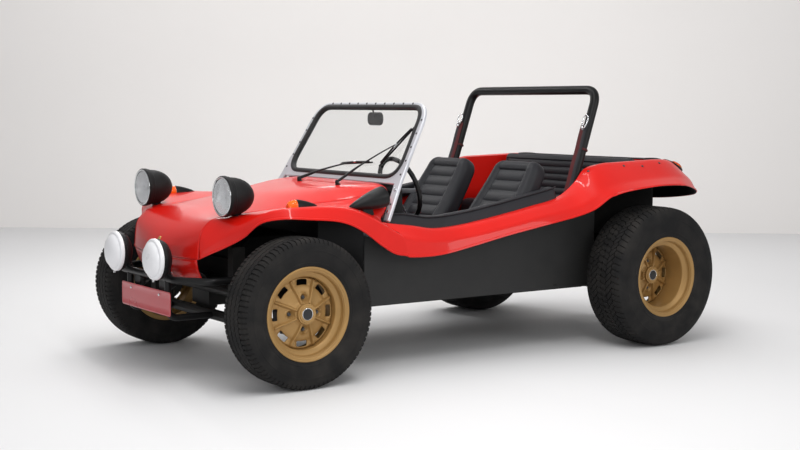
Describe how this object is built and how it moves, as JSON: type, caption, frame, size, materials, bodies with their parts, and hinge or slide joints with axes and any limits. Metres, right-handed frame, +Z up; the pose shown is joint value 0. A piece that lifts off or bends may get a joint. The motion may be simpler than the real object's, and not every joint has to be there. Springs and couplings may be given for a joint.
{
  "type": "dune buggy",
  "caption": "Open two-plus-two dune buggy with a moulded body on a floor pan, deep-dish wheels, roll bar, windscreen and rear engine.",
  "frame": {"origin": "on the ground below the middle of the car, midway between the axles", "axes": "+Z up, the front faces -Y, the car's left side is +X"},
  "size_m": [1.737, 3.1328, 1.3536],
  "materials": {
    "body_red": "gloss gel coat on glass fibre",
    "trim_black": "satin",
    "vinyl_black": "grained vinyl",
    "chassis_black": "satin paint",
    "bronze": "satin metallic paint",
    "tyre": "matt rubber",
    "engine_alloy": "as cast",
    "frame_silver": "satin",
    "glass": "clear",
    "lamp_white": "gloss",
    "lamp_orange": "gloss",
    "plate_red": "satin"
  },
  "bodies": {
    "chassis": {"body_tub": "body_red", "bonnet": "body_red", "nose_valance": "body_red", "dashboard": "trim_black", "door_mirror": "trim_black", "footwell": "trim_black", "rear_deck": "trim_black", "rear_shelf": "trim_black", "interior_mirror": "trim_black", "gear_lever": "trim_black", "steering_column": "trim_black", "side_panel_left": "trim_black", "side_panel_right": "trim_black", "indicator_left": "trim_black", "indicator_right": "trim_black", "wiper_left": "trim_black", "wiper_right": "trim_black", "headlight_left": "trim_black", "headlight_right": "trim_black", "rear_bench": "vinyl_black", "seat_left": "vinyl_black", "seat_right": "vinyl_black", "side_pad_left": "vinyl_black", "side_pad_right": "vinyl_black", "floor_pan": "chassis_black", "front_beam": "chassis_black", "rear_axle": "chassis_black", "front_bumper": "chassis_black", "roll_bar": "chassis_black", "exhaust": "chassis_black", "engine": "engine_alloy", "windscreen_frame": "frame_silver", "windscreen_glass": "glass", "spot_lamp_left": "lamp_white", "spot_lamp_right": "lamp_white", "tail_lamp_left": "lamp_orange", "tail_lamp_right": "lamp_orange", "number_plate": "plate_red"},
    "knuckle_left": {"knuckle_left": "chassis_black"},
    "wheel_front_left": {"rim_front_left": "bronze", "tyre_front_left": "tyre"},
    "wheel_rear_left": {"rim_rear_left": "bronze", "tyre_rear_left": "tyre"},
    "knuckle_right": {"knuckle_right": "chassis_black"},
    "wheel_front_right": {"rim_front_right": "bronze", "tyre_front_right": "tyre"},
    "wheel_rear_right": {"rim_rear_right": "bronze", "tyre_rear_right": "tyre"},
    "steering_wheel": {"steering_wheel": "trim_black"}
  },
  "joints": [
    {"name": "steer_left", "type": "hinge", "parent": "chassis", "child": "knuckle_left", "pos_m": [0.575, -1.0655, 0.33173], "axis": [0, 0, 1], "range_deg": [-25, 25]},
    {"name": "steer_right", "type": "hinge", "parent": "chassis", "child": "knuckle_right", "pos_m": [-0.575, -1.0655, 0.33173], "axis": [0, 0, 1], "range_deg": [-25, 25]},
    {"name": "spin_front_left", "type": "hinge", "parent": "knuckle_left", "child": "wheel_front_left", "pos_m": [0.692, -1.0655, 0.33173], "axis": [1, 0, 0], "continuous": true},
    {"name": "spin_front_right", "type": "hinge", "parent": "knuckle_right", "child": "wheel_front_right", "pos_m": [-0.692, -1.0655, 0.33173], "axis": [1, 0, 0], "continuous": true},
    {"name": "spin_rear_left", "type": "hinge", "parent": "chassis", "child": "wheel_rear_left", "pos_m": [0.738, 1.0655, 0.36261], "axis": [1, 0, 0], "continuous": true},
    {"name": "spin_rear_right", "type": "hinge", "parent": "chassis", "child": "wheel_rear_right", "pos_m": [-0.738, 1.0655, 0.36261], "axis": [1, 0, 0], "continuous": true},
    {"name": "steering_wheel_turn", "type": "hinge", "parent": "chassis", "child": "steering_wheel", "pos_m": [0.3, -0.25, 0.828], "axis": [0, 0.9511, 0.309], "range_deg": [-350, 350]}
  ],
  "couplings": [
    {"joint": "steer_right", "follows": "steer_left", "ratio": 1},
    {"joint": "steering_wheel_turn", "follows": "steer_left", "ratio": 14}
  ]
}
